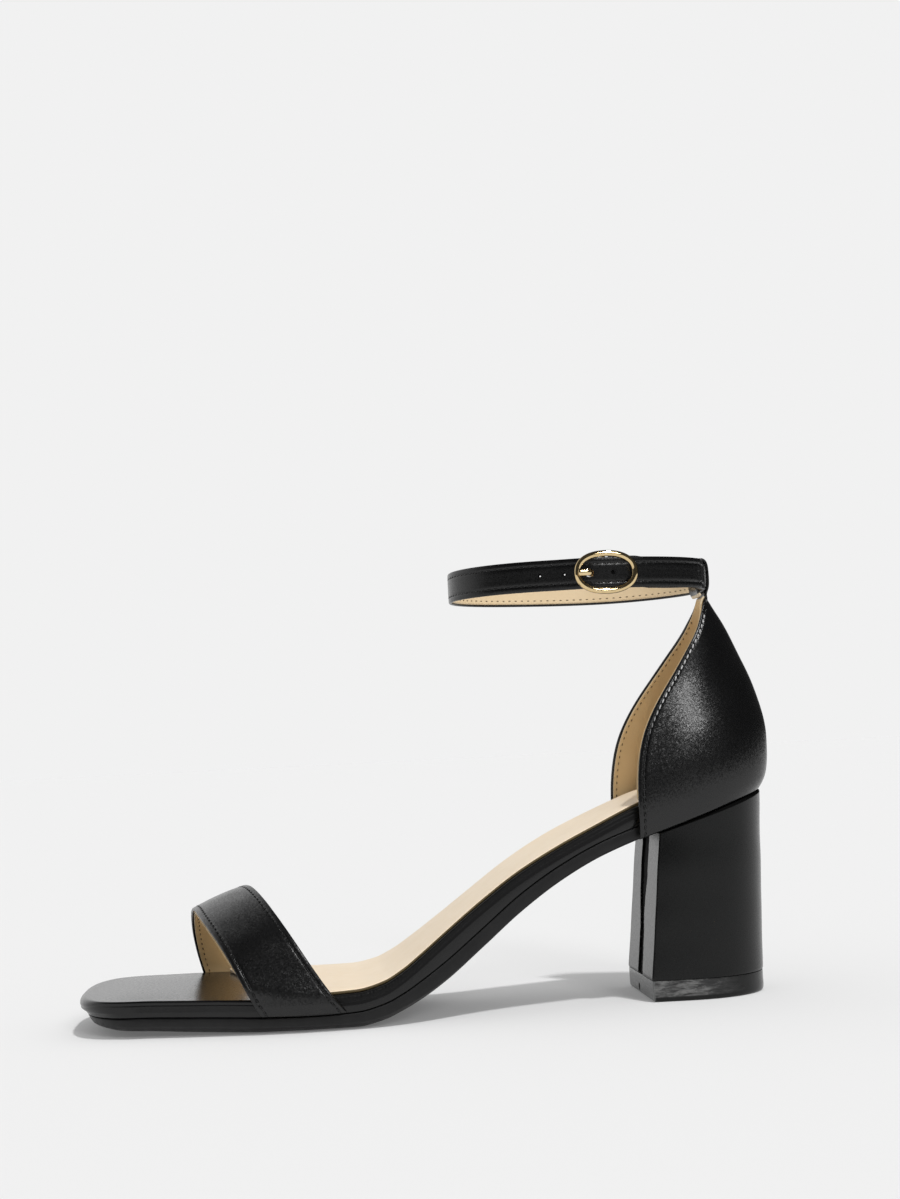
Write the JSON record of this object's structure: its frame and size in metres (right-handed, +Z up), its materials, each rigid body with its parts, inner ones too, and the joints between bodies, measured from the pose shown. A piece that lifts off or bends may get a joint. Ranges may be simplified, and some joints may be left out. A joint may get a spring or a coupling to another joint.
{
  "type": "heeled sandal",
  "caption": "Left heeled sandal with a toe strap, a closed heel counter, a buckled ankle strap, a wrapped footbed and a block heel, standing empty on its sole.",
  "frame": {"origin": "on the floor, under the middle of the shoe's outer box", "axes": "toe to -Y, heel to +Y, outer (lateral) side of this left shoe to +X, +Z up"},
  "size_m": [0.0794, 0.2243, 0.142],
  "materials": {
    "black_wrap": "satin synthetic leather wrap",
    "black_sole": "moulded, satin",
    "tan_sock": "smooth lining, matt",
    "black_upper": "fine grain, semi-gloss",
    "pale_gold": "polished pale gold plate",
    "black_heel": "satin synthetic leather wrap",
    "black_lift": "hard, slightly glossy"
  },
  "bodies": {
    "root": {"outsole": "black_sole", "midsole": "black_wrap", "insole": "tan_sock", "toe_strap": "black_upper", "heel_counter": "black_upper", "ankle_strap": "black_upper", "buckle_frame": "pale_gold", "buckle_prong": "pale_gold", "heel": "black_heel", "top_piece": "black_lift"}
  },
  "joints": []
}
